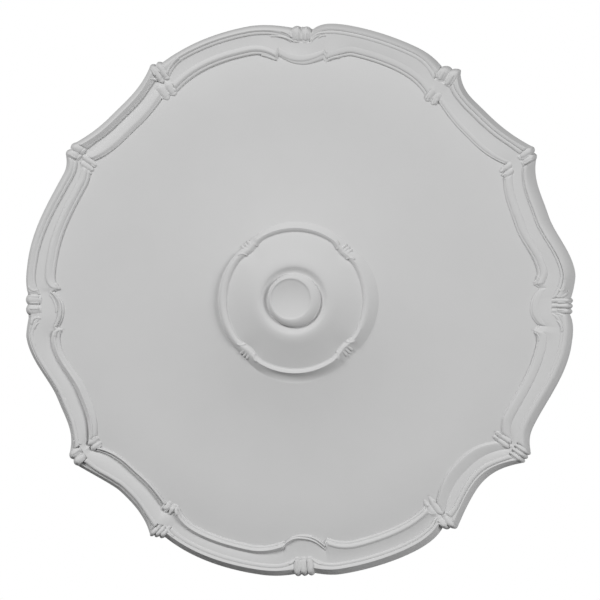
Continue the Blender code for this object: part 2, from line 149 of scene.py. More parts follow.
# How the inner lines of a rim span turn in beside its knots: over so many degrees, by so many units
RIM_TUCKS = {
    "north_spread": ((4.0, 3.0), (6.0, 4.0)), "north_east_hollow": ((5.0, 4.5), (4.0, 2.0)),
    "east_hollow": ((3.0, 1.0), (5.0, 4.0)), "east_spread": ((3.5, 5.5), (4.0, 3.5)),
    "south_east_hollow": ((3.0, 2.0), (3.0, 4.0)), "south_spread": ((3.0, 0.5), (4.0, 3.0)),
    "south_sweep": ((4.0, 3.0), (3.0, 1.5)), "south_west_hollow": ((4.0, 3.5), (4.0, 3.0)),
    "west_hollow": ((4.0, 4.0), (4.0, 5.0)), "west_spread": ((4.0, 3.5), (4.0, 2.5)),
    "north_west_hollow": ((3.0, 2.0), (3.0, 2.3)), "north_sweep": ((4.5, 6.0), (5.0, 4.5)),
}

# A knot: its middle, half its width in degrees, its number of folds, the radius they run in to, and by
# how many degrees a fold leans clockwise from its outer to its inner end
Knot = namedtuple("Knot", "middle half folds inner lean", defaults=(0.0,))

RIM_KNOTS = [
    Knot(360.9, 2.0, 2, 224.0), Knot(33.9, 2.1, 2, 227.0), Knot(58.2, 1.4, 2, 229.0),
    Knot(91.2, 1.7, 3, 223.0), Knot(124.3, 1.5, 3, 228.0), Knot(146.0, 1.4, 2, 226.0),
    Knot(178.5, 2.1, 3, 223.0), Knot(210.7, 1.5, 3, 231.0, -0.6), Knot(234.8, 1.6, 2, 230.0),
    Knot(269.1, 2.1, 2, 224.0), Knot(303.7, 1.7, 2, 228.5, 0.3), Knot(328.8, 1.4, 2, 223.0),
]
RIB_KNOTS = [
    Knot(34.0, 1.6, 2, 206.5), Knot(58.4, 1.4, 2, 209.5), Knot(124.0, 1.1, 2, 207.5),
    Knot(146.6, 1.4, 2, 205.5), Knot(211.9, 1.3, 2, 207.0), Knot(234.9, 1.3, 2, 211.5),
    Knot(302.9, 1.3, 2, 211.5), Knot(328.1, 1.9, 2, 208.0),
]

# The folds of the knots, in sheet units where nothing else is said
KNOT_REACH = 0.35            # how far in a cleft runs, as a share of its folds
KNOT_HEIGHT = 12.9           # crest of a rim knot before its folds are lifted
KNOT_SLOPE = 4.0             # width of its outer slope
KNOT_ROUNDNESS = 1.6         # how round a knot's slopes are
KNOT_TOE = 2.4               # length of the rounded inner end of a fold
KNOT_FALL = 1.4              # by how much a fold falls from its crest to that end
RIB_KNOT_HEIGHT = 12.3
RIB_KNOT_SLOPE = 3.0
RIB_KNOT_STEEP = 1.8         # how round a rib knot's outer slope is
RIB_KNOT_FALL = 0.6
RIB_KNOT_OUT = 1.5           # how far a rib knot's folds reach out into the channel
RIB_KNOT_SHARE = 0.8         # lift and clefts of a rib knot's folds, as a share of a rim knot's
FOLD_FULLNESS = 0.8          # under 1 makes the folds fuller and the clefts sharper
LEAN_REACH = 3.0             # degrees beside a knot over which its lean fades out
LEAN_PEAK = 1.3              # how much the folds lean in the middle of a knot, as a share of its lean
LEAN_RUN = 16.0              # units from the outline inwards over which a fold leans

# The profiles of the rim and the inner rib, in sheet units where nothing else is said
EDGE_BEND = (0.4, 0.6)       # a place under the widest line, as shares of the draft and of the edge height
END_ROUND_DEGREES = 0.55     # over how many degrees a rib's end is rounded
END_DROP = 0.8               # by how many units it falls to its very end
REED_DROP = 0.8              # how far the reed falls there, as a share of the crest's fall
ROLL_TUCK = 0.75             # share of a tuck that widens the roll; the reed takes the rest
REED_PEAK = 0.42             # share of the reed's width at which it is highest
REED_STEEP = 2.0             # how round the reed rises
REED_ROUND = 1.8             # how round it falls
RIB_FOLLOWS = 0.75           # how far the inner rib rises and falls with the field under it
CHANNEL_COVE = 1.8           # over 1, the channel steepens towards the inner rib
FIELD_OUTER = 210.5          # sheet radius at which the field has its edge height

# A fan is a number of straight folds between two bearings, from an outer to an inner sheet radius. A hook
# is one fold from a start to an end, each a bearing and a sheet radius, whose middle bows out to the left
# of the way by so many units. The width is half of each fold's own.
Fan = namedtuple("Fan", "first last count outer inner width")
Hook = namedtuple("Hook", "start end bow width")

RIM_FANS = (
    Fan(0.1, 1.9, 3, 238.4, 225.4, 1.6), Fan(32.9, 34.9, 2, 240.5, 227.2, 2.3),
    Fan(58.1, 59.2, 2, 240.5, 230.0, 1.3), Fan(90.4, 92.1, 3, 239.5, 226.5, 1.3),
    Fan(123.3, 125.3, 3, 239.5, 227.5, 1.3), Fan(144.7, 146.0, 2, 236.8, 229.0, 1.4),
    Fan(177.3, 180.0, 4, 238.4, 225.2, 1.3), Fan(210.5, 212.6, 3, 237.5, 230.3, 1.2),
    Fan(234.7, 235.7, 2, 239.4, 230.2, 1.3), Fan(268.2, 270.8, 3, 235.8, 226.0, 1.7),
    Fan(302.6, 303.7, 2, 239.0, 229.6, 1.4), Fan(327.7, 328.9, 2, 239.9, 231.0, 1.5),
)
RIB_FANS = (
    Fan(32.8, 35.1, 3, 215.0, 207.0, 1.6), Fan(57.9, 60.0, 3, 214.0, 208.5, 1.2),
    Fan(123.2, 124.4, 2, 214.5, 207.5, 1.2), Fan(145.5, 147.3, 2, 214.0, 209.5, 1.4),
    Fan(211.0, 213.1, 3, 218.5, 210.5, 1.3), Fan(233.8, 236.0, 3, 218.5, 212.3, 1.4),
    Fan(301.4, 303.3, 2, 217.0, 211.0, 1.5), Fan(326.2, 329.7, 3, 215.0, 210.0, 1.6),
)
RIM_HOOKS = (
    Hook((354.0, 231.0), (359.3, 225.2), 2.0, 1.1), Hook((356.5, 234.8), (359.2, 228.0), 1.0, 1.0),
    Hook((6.0, 234.0), (2.9, 225.0), -2.7, 1.2), Hook((6.6, 231.5), (4.6, 228.3), -1.4, 1.1),
    Hook((31.7, 233.5), (32.4, 227.6), 0.0, 1.3), Hook((86.6, 232.6), (87.8, 228.2), 3.3, 1.0),
    Hook((87.8, 237.0), (89.1, 225.8), 2.6, 1.7), Hook((93.6, 233.0), (93.0, 224.8), -1.4, 1.1),
    Hook((97.0, 233.0), (94.3, 227.4), -1.6, 1.1), Hook((147.0, 230.8), (147.8, 230.2), -3.6, 0.9),
    Hook((174.3, 230.6), (176.7, 224.3), 1.6, 1.2), Hook((182.0, 229.8), (180.4, 225.0), -1.0, 1.2),
    Hook((207.5, 232.4), (210.2, 227.2), 1.5, 1.5), Hook((238.2, 231.4), (236.3, 226.8), 0.0, 1.2),
    Hook((264.6, 234.5), (265.9, 224.6), 3.7, 1.2), Hook((263.6, 232.4), (265.2, 227.2), 1.0, 1.0),
    Hook((273.2, 236.5), (272.4, 227.4), -2.8, 1.2), Hook((325.9, 233.4), (327.6, 227.0), 0.4, 1.4),
    Hook((334.0, 236.0), (329.8, 227.6), -1.4, 1.4),
)
RIB_HOOKS = (
    Hook((351.5, 216.5), (355.2, 210.0), 0.5, 1.6), Hook((10.0, 215.0), (7.2, 210.3), -1.0, 1.5),
    Hook((84.0, 212.0), (85.9, 206.8), 1.6, 1.5), Hook((99.8, 214.0), (97.5, 209.0), -2.2, 1.1),
    Hook((172.8, 210.0), (173.1, 217.0), 0.0, 1.1), Hook((184.6, 213.0), (183.7, 217.0), 0.0, 1.2),
    Hook((209.0, 214.5), (210.2, 208.9), 1.2, 1.4), Hook((261.3, 214.6), (262.8, 208.0), 3.1, 1.2),
    Hook((271.5, 217.6), (266.8, 211.6), 1.9, 1.0), Hook((274.2, 213.0), (272.6, 207.6), -1.0, 1.9),
)

# One of the ring's small knots, with its bearings counted from the knot's middle
RING_FAN = Fan(-2.8, 3.0, 3, 67.0, 57.8, 1.5)
RING_HOOKS = (Hook((-11.0, 63.0), (-5.2, 56.8), 1.9, 1.3), Hook((11.5, 63.0), (6.2, 56.8), -1.9, 1.3))
RING_KNOT_BEARINGS = (45.3, 133.6, 222.6, 318.4)

# The ring's profile at the middle of each lobe, in millimetres and as shares of its rise
RING_FORMS = {
    "north": Form(5.4, 1.0, 8.8, 1.0, 1.3, 0.60, 0.8, 0.62, 0.0),
    "east": Form(8.6, 1.1, 11.8, 1.0, 1.6, 0.70, 0.8, 0.70, 0.0),
    "south": Form(8.0, 0.62, 11.4, 1.0, 1.3, 0.66, 0.8, 0.68, 0.0),
    "west": Form(4.8, 2.0, 9.0, 1.0, 1.6, 0.62, 1.0, 0.68, 0.0),
}
RING_TURN_REACH = 15.0       # degrees beside a ring knot over which the lobes turn in
RING_LOBE_FULLNESS = 0.6     # under 1 keeps a lobe wide until close to its knots
RING_USUAL_SLOPE = 4.8       # millimetres; a lobe with a wider outer slope is wider by a share of it
RING_SLOPE_SHARE = 0.8

# Profiles as shares: how far across from the outside inwards, and how high from foot to crest
FIELD = ((0.0, 0.0), (0.047, 0.08), (0.115, 0.162), (0.216, 0.243), (0.35, 0.30), (0.486, 0.364),
         (0.62, 0.464), (0.757, 0.608), (0.89, 0.804), (1.0, 1.0))
DOME = ((0.0, 0.0), (0.25, 0.28), (0.55, 0.62), (0.8, 0.9), (0.93, 0.99), (1.0, 1.0))

# The moat, the button and its dish, in metres where nothing else is said
MOAT_FULLNESS = 1.3          # over 1, the moat's floor lies closer to the button
MOAT_CORNER = 0.0002         # how far from the button's wall the moat's floor ends
SHOULDER = 0.45              # share of the button's height at which its wall turns into its crown
SHOULDER_IN = 0.0005         # how far the shoulder stands in from the wall
SHOULDER_FOLLOWS = 0.02      # how far it follows the dish off the button's middle, as a share
BUTTON_WALL = ((0.0, 0.35), (0.0001, 0.8))          # how far in, and the share of the shoulder's height
CROWN_FULLNESS = 0.9         # under 1 makes the crown fuller
DISH_LIP = ((0.0004, 0.00012), (0.0008, 0.0005))    # how far in from the dish's radius, and how far down

# How finely the skin is divided
CLOSE_STEP = 0.17            # degrees between stations in a knot
WIDE_STEP = 0.66             # degrees between stations elsewhere on the border
STEP_GROWTH = 0.10           # by how much the step grows with each degree away from a knot
KNOT_MARGIN = 0.8            # degrees beside a knot that are still finely divided
LEAST_STEP = 0.07            # degrees, the least distance between two stations
SLOPE_STEPS = 7
ROLL_STEPS = 5
REED_RISE_STEPS = 3
REED_FALL_STEPS = 4
CHANNEL_SHARES = (0.035, 0.12, 0.35, 0.65, 0.88, 0.965)
FIELD_EDGE_STEPS = (0.5, 1.5)                       # sheet units inwards from the inner rib
FIELD_STATIONS = 480
FIELD_SHARES = [0.023] + [i / 22 for i in range(1, 22)] + [0.985, 0.996]
RING_STATIONS = 560
MIDDLE_STATIONS = 240
DOME_SHARES = [0.015, 0.04] + [i / 14 for i in range(1, 15)]
MOAT_STEPS = 7
CROWN_STEPS = 7
DISH_STEPS = 12
HOOK_STEPS = 8

# The small folds and the face's waves, in metres where nothing else is said
FOLD_SPACING = 0.0012        # between the points along a fold
FOLD_SIDES = 8
WAVE_SEED = 7
RAY_START = -0.1             # the casting's height is read along rays from in front of its face
RAY_LENGTH = 0.2
HEIGHT_EASING = 5            # how often the heights along a fold are evened out
LEAST_END = 0.001            # keeps the very end of a fold from closing to nothing
FACE_STARTS = -0.003         # nearer to the back than this, the casting isn't waved
GRAIN_SHARE = 0.25           # height of the sprayed grain as a share of the slow swell's

# The stage: angles are degrees seen from the rose's face, lengths are metres
CAMERA_AZIMUTH = 6.5         # the camera stands to the right of the rose's own axis
CAMERA_ELEVATION = 0.0
CAMERA_DISTANCE = 7.0
CAMERA_LENS = 482.0          # millimetres
SENSOR_WIDTH = 36.0          # millimetres
CAMERA_SEES_TO = 50.0
CAMERA_TARGET = (0.0014, 0.0, 0.0003)
LAMP_DISTANCE = 8.0
LAMP_SIZE = 3.2
ROOM_LIGHT = 0.04            # brightness of the room round the rose
FLOOR_DROP = 2.2
FLOOR_RADIUS = 1.5
FLOOR_CORNERS = 96

# A lamp's name, its azimuth and elevation, and its power in watts
LAMPS = (("upper_left_lamp", -46.0, 32.0, 543.0), ("right_lamp", 54.6, 7.5, 416.0),
         ("back_lamp", 180.0, 0.0, 150.0))


def length_prop(name, description, default, least, most):
    """A length that the user can change."""
    return bpy.props.FloatProperty(
        name=name, description=description, default=default, min=least, max=most, unit="LENGTH")


def colour_prop(name, description, default):
    """A colour that the user can change."""
    return bpy.props.FloatVectorProperty(
        name=name, description=description, default=default, size=3, min=0.0, max=1.0, subtype="COLOR")


class RoseSizes(bpy.types.PropertyGroup):
    """Sizes of the moulding."""
    diameter: length_prop(
        "Diameter", "Diameter of the sheet that the border is drawn on", 0.480, 0.1, 1.5)
    draft: length_prop("Draft", "How far the outline draws in at the back", 0.0012, 0.0, 0.01)
    edge_height: length_prop("Edge height", "Height of the widest line of the rim", 0.0034, 0.0, 0.02)
    field_edge_height: length_prop(
        "Field edge height", "Height of the field beside the inner rib", 0.0108, 0.0, 0.03)
    knot_lift: length_prop(
        "Knot lift", "How far a knot's folds stand above the rib they wrap", 0.0007, 0.0, 0.01)
    knot_proud: length_prop(
        "Knot proud", "How far a rim knot's folds stand out past the rim", 0.0018, 0.0, 0.01)
    knot_cleft: length_prop("Knot cleft", "Depth of the clefts between the folds", 0.0007, 0.0, 0.01)
    ring_inner_radius: length_prop(
        "Ring opening radius", "Inner radius of the quatrefoil ring", 0.0588, 0.02, 0.2)
    ring_width: length_prop(
        "Ring width", "Width of the ring's rib at the middle of a lobe", 0.0085, 0.001, 0.03)
    ring_neck_width: length_prop(
        "Ring neck width", "Width of the ring's rib beside its small knots", 0.0040, 0.001, 0.03)
    ring_dip: length_prop(
        "Ring dip", "How far the ring's lobes turn in at its small knots", 0.0030, 0.0, 0.02)
    ring_height: length_prop("Ring height", "Height of the ring's crest", 0.0298, 0.01, 0.06)
    field_top_height: length_prop(
        "Field top height", "Height of the field where it meets the ring", 0.0252, 0.01, 0.06)
    dome_base_height: length_prop(
        "Dome base height", "Height of the dome's foot inside the ring", 0.0280, 0.01, 0.06)
    dome_rise: length_prop("Dome rise", "Rise of the dome from the ring to the moat", 0.0089, 0.0, 0.03)
    moat_width: length_prop("Moat width", "Width of the groove round the button", 0.0066, 0.0, 0.02)
    moat_depth: length_prop("Moat depth", "Depth of the groove round the button", 0.0024, 0.0, 0.01)
    button_radius: length_prop("Button radius", "Radius of the button", 0.0232, 0.005, 0.1)
    button_rise: length_prop(
        "Button rise", "Height of the button's lip above the top of the dome", 0.0025, 0.0, 0.02)
    dish_radius: length_prop("Dish radius", "Radius of the dish in the button", 0.0178, 0.002, 0.1)
    dish_depth: length_prop("Dish depth", "Depth of the dish in the button", 0.0030, 0.0, 0.02)
    dish_offset: bpy.props.FloatVectorProperty(
        name="Dish offset", description="How far the dish's middle lies right of and above the button's",
        default=(-0.0023, 0.0012), size=2, subtype="XYZ", unit="LENGTH")
    fold_rise: length_prop(
        "Fold rise", "How far the small folds of the knots stand above the casting", 0.0006, 0.0, 0.005)
    unevenness: length_prop(
        "Unevenness", "How far the cast surface waves in and out", 0.00007, 0.0, 0.002)


class RoseFinish(bpy.types.PropertyGroup):
    """Colours of the moulding and of the stage."""
    primer: colour_prop("Primer", "Colour of the white primer", (0.60, 0.60, 0.60))
    primer_shade: colour_prop(
        "Primer shade", "Colour of the primer where it lies thinner", (0.575, 0.575, 0.575))
    floor: colour_prop("Floor", "Colour of the floor under the rose", (0.80, 0.80, 0.80))


def sheet(sizes, units):
    """A length of the border's drawing, in metres at the rose's own diameter."""
    return units * sizes.diameter / SHEET_UNITS_ACROSS


def ease(t):
    """Runs from 0 to 1 with a level start and end."""
    return t * t * (3.0 - 2.0 * t)


def mix(a, b, share):
    """The value a share of the way from a to b."""
    return a + (b - a) * share


def clockwise_from(bearing, start):
    """The same bearing, written so that it is not less than the start."""
    return start + (bearing - start) % 360.0


def degrees_apart(a, b):
    """How far apart two bearings are."""
    return abs((a - b + 180.0) % 360.0 - 180.0)


def smooth_curve(points, at):
    """A smooth curve through points with rising first values, read at one place."""
    for i in range(len(points) - 1):
        if at <= points[i + 1][0]:
            break
    (x1, y1), (x2, y2) = points[i], points[i + 1]
    slope = (y2 - y1) / (x2 - x1)
    before = slope
    after = slope
    if i > 0:
        before = (y2 - points[i - 1][1]) / (x2 - points[i - 1][0])
    if i + 2 < len(points):
        after = (points[i + 2][1] - y1) / (points[i + 2][0] - x1)
    t = (at - x1) / (x2 - x1)
    run = x2 - x1
    return (y1 * (2 * t ** 3 - 3 * t ** 2 + 1) + y2 * (3 * t ** 2 - 2 * t ** 3)
            + before * run * (t ** 3 - 2 * t ** 2 + t) + after * run * (t ** 3 - t ** 2))


def span_radius(span, bearing):
    """The sheet radius of a span at a bearing that lies in it."""
    (first, first_radius), (last, last_radius) = span.turns[0], span.turns[-1]
    if bearing <= first:
        share = (first - bearing) / (first - span.start[0])
        return first_radius + (span.start[1] - first_radius) * share ** span.start_fullness
    if bearing >= last:
        share = (bearing - last) / (span.end[0] - last)
        return last_radius + (span.end[1] - last_radius) * share ** span.end_fullness
    share = (bearing - first) / (last - first)
    return first_radius + (last_radius - first_radius) * ease(share)


def along(spans, bearing, inside, between):
    """Finds the span at a bearing and calls inside(name, bearing), or between(name, next name, share)
    where the bearing falls between two spans."""
    names = list(spans)
    for name, following in zip(names, names[1:] + names[:1]):
        span = spans[name]
        here = clockwise_from(bearing, span.start[0])
        if here <= span.end[0]:
            return inside(name, here)
        gap_end = clockwise_from(spans[following].start[0], span.end[0])
        if here <= gap_end:
            return between(name, following, (here - span.end[0]) / (gap_end - span.end[0]))
    raise ValueError(f"no span at {bearing} degrees")


def line_radius(spans, bearing):
    """Sheet radius of the line that the spans draw, straight across the gaps between them."""
    def across(name, following, share):
        return mix(spans[name].end[1], spans[following].start[1], share)
    return along(spans, bearing, lambda name, here: span_radius(spans[name], here), across)


def mixed_form(a, b, share):
    """A form part of the way from one to another."""
    return Form(*[mix(x, y, share) for x, y in zip(a, b)])


def form_at(spans, forms, bearing):
    """The profile at a bearing."""
    def inside(name, here):
        span = spans[name]
        share = (here - span.start[0]) / (span.end[0] - span.start[0])
        return mixed_form(forms[name][0], forms[name][-1], share)

    def between(name, following, share):
        return mixed_form(forms[name][-1], forms[following][0], share)
    return along(spans, bearing, inside, between)


def tuck_at(spans, tucks, bearing):
    """By how many units the inner lines of a span turn in at a bearing, beside its knots."""
    def inside(name, here):
        span = spans[name]
        (start_reach, start_depth), (end_reach, end_depth) = tucks[name]
        at_start = max(0.0, 1.0 - (here - span.start[0]) / start_reach)
        at_end = max(0.0, 1.0 - (span.end[0] - here) / end_reach)
        return start_depth * at_start ** 2 + end_depth * at_end ** 2

    def between(name, following, share):
        return mix(tucks[name][1][1], tucks[following][0][1], share)
    return along(spans, bearing, inside, between)


def end_drop(spans, bearing):
    """By how many units a rib's crest is lower at its rounded ends."""
    def inside(name, here):
        span = spans[name]
        near = min(here - span.start[0], span.end[0] - here) / END_ROUND_DEGREES
        return 0.0 if near >= 1.0 else END_DROP * (1.0 - math.sqrt(1.0 - (1.0 - near) ** 2))
    return along(spans, bearing, inside, lambda name, following, share: END_DROP)


def fold_at(knots, bearing):
    """How far a bearing lies up a knot's fold, 1 on its crest and 0 in its clefts, with the knot;
    None for the knot where there is none."""
    for knot in knots:
        share = ((bearing - knot.middle + knot.half) % 360.0) / (2.0 * knot.half)
        if share <= 1.0:
            return abs(math.sin(math.pi * knot.folds * share)) ** FOLD_FULLNESS, knot
    return 0.0, None


def lean_at(knots, bearing):
    """Degrees that the folds lean at a bearing, fading out beside the knot."""
    for knot in knots:
        away = degrees_apart(bearing, knot.middle) / (knot.half + LEAN_REACH)
        if away < 1.0:
            return knot.lean * ease(1.0 - away) * LEAN_PEAK
    return 0.0


def rising(low, high, power, steps):
    """Points of a curve that leaves its foot steeply and reaches its crest level, as shares across
    and heights, without its foot."""
    shares = [1.0 - math.cos(math.pi / 2.0 * i / steps) for i in range(1, steps + 1)]
    return [(s, low + (high - low) * (1.0 - (1.0 - s) ** power) ** (1.0 / power)) for s in shares]


def falling(high, low, power, steps):
    """Points of a curve that leaves its crest level and falls steeply to its foot, without its crest."""
    shares = [math.sin(math.pi / 2.0 * i / steps) for i in range(1, steps + 1)]
    return [(s, low + (high - low) * max(0.0, 1.0 - s ** power) ** (1.0 / power)) for s in shares]


def rib_profile(form, low_outside, low_inside):
    """Offsets from the outer foot inwards and heights of a rib with its reed, in the form's own units."""
    points = [(0.0, low_outside)]
    peak = form.roll + form.reed * REED_PEAK
    parts = (
        (0.0, form.slope, rising(low_outside, form.height, form.steep, SLOPE_STEPS)),
        (form.slope, form.roll, falling(form.height, form.groove, form.fall, ROLL_STEPS)),
        (form.roll, peak, rising(form.groove, form.reed_height, REED_STEEP, REED_RISE_STEPS)),
        (peak, form.roll + form.reed, falling(form.reed_height, low_inside, REED_ROUND, REED_FALL_STEPS)),
    )
    for start, end, shares in parts:
        points += [(mix(start, end, s), height) for s, height in shares]
    return points


def shaped_form(form, drop, tuck):
    """A form with its crests lowered and its inner lines turned in."""
    return form._replace(
        roll=form.roll + tuck * ROLL_TUCK, reed=form.reed + tuck * (1.0 - ROLL_TUCK),
        height=form.height - drop, groove=form.groove - drop,
        reed_height=form.reed_height - drop * REED_DROP)


def rim_section(sizes, bearing):
    """The rim along one bearing in sheet units, from the back's edge to the channel."""
    per_unit = sheet(sizes, 1.0)
    edge = sizes.edge_height / per_unit
    fold, knot = fold_at(RIM_KNOTS, bearing)
    outline = line_radius(RIM_SPANS, bearing)
    form = form_at(RIM_SPANS, RIM_FORMS, bearing)
    tuck = tuck_at(RIM_SPANS, RIM_TUCKS, bearing)
    channel = form.foot
    if knot:
        lift = (sizes.knot_lift * fold - sizes.knot_cleft * (1.0 - fold)) / per_unit
        foot = outline - form.roll - form.reed - tuck
        foot += min(0.0, knot.inner - foot) * (KNOT_REACH + (1.0 - KNOT_REACH) * fold)
        outline += sizes.knot_proud / per_unit * fold
        length = outline - foot
        height = KNOT_HEIGHT + lift
        form = Form(KNOT_SLOPE, KNOT_ROUNDNESS, length - KNOT_TOE, height, KNOT_ROUNDNESS,
                    height - KNOT_FALL, KNOT_TOE, height - KNOT_FALL, channel)
    else:
        form = shaped_form(form, end_drop(RIM_SPANS, bearing), tuck)
    draft = sizes.draft / per_unit
    back = [(outline - draft, 0.0), (outline - draft * EDGE_BEND[0], edge * EDGE_BEND[1])]
    return back + [(outline - offset, height) for offset, height in rib_profile(form, edge, channel)]


def field_height(sizes, radius):
    """Height of the field at a radius in metres. It is turned, and runs on evenly past both its ends."""
    outer, inner = sheet(sizes, FIELD_OUTER), sizes.ring_inner_radius + sizes.ring_width
    share = (outer - radius) / (outer - inner)
    if share < 0.0:
        up = share * FIELD[1][1] / FIELD[1][0]
    elif share > 1.0:
        up = 1.0 + (share - 1.0) * (1.0 - FIELD[-2][1]) / (1.0 - FIELD[-2][0])
    else:
        up = smooth_curve(FIELD, share)
    return mix(sizes.field_edge_height, sizes.field_top_height, up)


def rib_section(sizes, bearing):
    """The inner rib along one bearing in sheet units, from the channel to the field."""
    per_unit = sheet(sizes, 1.0)
    fold, knot = fold_at(RIB_KNOTS, bearing)
    foot = line_radius(RIB_SPANS, bearing)
    form = form_at(RIB_SPANS, RIB_FORMS, bearing)
    outer = foot + form.roll + form.reed
    follow = RIB_FOLLOWS * (field_height(sizes, sheet(sizes, foot)) - sizes.field_edge_height) / per_unit
    channel = form.foot + follow
    if knot:
        lift = RIB_KNOT_SHARE * (sizes.knot_lift * fold - sizes.knot_cleft * (1.0 - fold)) / per_unit
        foot += (knot.inner - foot) * fold
        outer += RIB_KNOT_OUT * fold
        height = RIB_KNOT_HEIGHT + lift + follow
        form = Form(RIB_KNOT_SLOPE, RIB_KNOT_STEEP, outer - foot - KNOT_TOE, height, KNOT_ROUNDNESS,
                    height - RIB_KNOT_FALL, KNOT_TOE, height - RIB_KNOT_FALL, channel)
    else:
        form = shaped_form(form, end_drop(RIB_SPANS, bearing) - follow, 0.0)
    field = field_height(sizes, sheet(sizes, foot)) / per_unit
    return [(outer - offset, height) for offset, height in rib_profile(form, channel, field)]


def border_section(sizes, bearing):
    """The border cut along one bearing, as (radius, height) points in metres from the back inwards."""
    rim = rim_section(sizes, bearing)
    rib = rib_section(sizes, bearing)
    start, end = rim[-1], rib[0]
    channel = [(mix(start[0], end[0], share), mix(start[1], end[1], share ** CHANNEL_COVE))
               for share in CHANNEL_SHARES]
    per_unit = sheet(sizes, 1.0)
    field = [(rib[-1][0] - step, field_height(sizes, (rib[-1][0] - step) * per_unit) / per_unit)
             for step in FIELD_EDGE_STEPS]
    lean = lean_at(RIM_KNOTS, bearing)
    outline = rim[2][0]
    section = []
    for radius, height in rim + channel + rib + field:
        share = min(1.0, max(0.0, (outline - radius) / LEAN_RUN))
        section.append((sheet(sizes, radius), sheet(sizes, height), lean * (share - 0.5)))
    return section


def station_bearings():
    """Bearings of the border's stations, close together in and beside the knots and the ribs' ends."""
    busy = [(knot.middle, knot.half + KNOT_MARGIN) for knot in RIM_KNOTS + RIB_KNOTS]
    for span in RIB_SPANS.values():
        busy += [(span.start[0], KNOT_MARGIN), (span.end[0], KNOT_MARGIN)]
    marks = [b for span in list(RIM_SPANS.values()) + list(RIB_SPANS.values())
             for b in (span.start[0], span.end[0])]
    for knot in RIM_KNOTS + RIB_KNOTS:
        marks += [knot.middle - knot.half + 2.0 * knot.half * i / knot.folds for i in range(knot.folds + 1)]
    kept = []
    for mark in sorted(b % 360.0 for b in marks):
        if all(degrees_apart(mark, other) > LEAST_STEP for other in kept):
            kept.append(mark)
    bearings = []
    for here, following in zip(kept, kept[1:] + [kept[0] + 360.0]):
        walked = [here]
        while True:
            away = min(max(0.0, degrees_apart(walked[-1], m) - half) for m, half in busy)
            walked.append(walked[-1] + min(WIDE_STEP, CLOSE_STEP + STEP_GROWTH * away))
            if walked[-1] >= following:
                break
        stretch = (following - here) / (walked[-1] - here)
        bearings += [(here + (b - here) * stretch) % 360.0 for b in walked[:-1]]
    return sorted(bearings)


def ring_lobe(bearing):
    """1 at the middle of each of the quatrefoil's lobes and 0 at its four knots."""
    knots = list(RING_KNOT_BEARINGS)
    for start, end in zip(knots, knots[1:] + [knots[0] + 360.0]):
        here = clockwise_from(bearing, start)
        if here <= end:
            return math.sin(math.pi * (here - start) / (end - start)) ** RING_LOBE_FULLNESS
    return 0.0


def ring_form(bearing):
    """The ring's profile at a bearing, eased from lobe to lobe."""
    names = list(RING_FORMS)
    quarter = (bearing % 360.0) / 90.0
    index = int(quarter)
    share = ease(quarter - index)
    return mixed_form(RING_FORMS[names[index]], RING_FORMS[names[(index + 1) % 4]], share)


def ring_inner_radius_at(sizes, bearing):
    """Inside of the quatrefoil ring's rib, which turns in towards its four knots."""
    away = min(degrees_apart(bearing, knot) for knot in RING_KNOT_BEARINGS)
    return sizes.ring_inner_radius - sizes.ring_dip * ease(max(0.0, 1.0 - away / RING_TURN_REACH))


def ring_outer_radius(sizes, bearing):
    """Outside of the quatrefoil ring's rib."""
    widening = sizes.ring_width - sizes.ring_neck_width
    return sizes.ring_inner_radius + sizes.ring_neck_width + widening * ring_lobe(bearing)


def ring_section(sizes, bearing):
    """The quatrefoil ring along one bearing, from the field to the dome's foot, in metres."""
    form = ring_form(bearing)
    wider = sizes.ring_width * (form.slope / RING_USUAL_SLOPE - 1.0) * RING_SLOPE_SHARE
    outer = ring_outer_radius(sizes, bearing) + wider
    width = (outer - ring_inner_radius_at(sizes, bearing)) / (form.roll + form.reed)
    base = field_height(sizes, outer)
    rise = sizes.ring_height - base
    section = []
    for offset, height in rib_profile(form, 0.0, (sizes.dome_base_height - base) / rise):
        section.append((outer - offset * width, base + rise * height, 0.0))
    return section


def field_section(sizes, bearing):
    """The field along one bearing, from inside the inner rib to the foot of the ring."""
    outside = sheet(sizes, line_radius(RIB_SPANS, bearing))
    fold, knot = fold_at(RIB_KNOTS, bearing)
    if knot:
        outside += (sheet(sizes, knot.inner) - outside) * fold
    inside = ring_section(sizes, bearing)[0][0]
    radii = [mix(outside, inside, share) for share in FIELD_SHARES]
    return [(radius, field_height(sizes, radius), 0.0) for radius in radii]


def dome_radius(sizes, radius, bearing):
    """A radius of the dome, drawn in with the ring's inside; the moat and the button stay round."""
    moat = sizes.button_radius + sizes.moat_width
    if radius <= moat:
        return radius
    share = (radius - moat) / (sizes.ring_inner_radius - moat)
    return radius + (ring_inner_radius_at(sizes, bearing) - sizes.ring_inner_radius) * share ** 3


def curved(start, end, steps, first, last, fullness):
    """Points from one radius to another whose height leaves the first one steeply and reaches the last
    one level, as radius, height and share of the way."""
    shares = [i / steps for i in range(1, steps + 1)]
    return [(mix(start, end, share), mix(first, last, math.sin(math.pi / 2.0 * share) ** fullness), share)
            for share in shares]


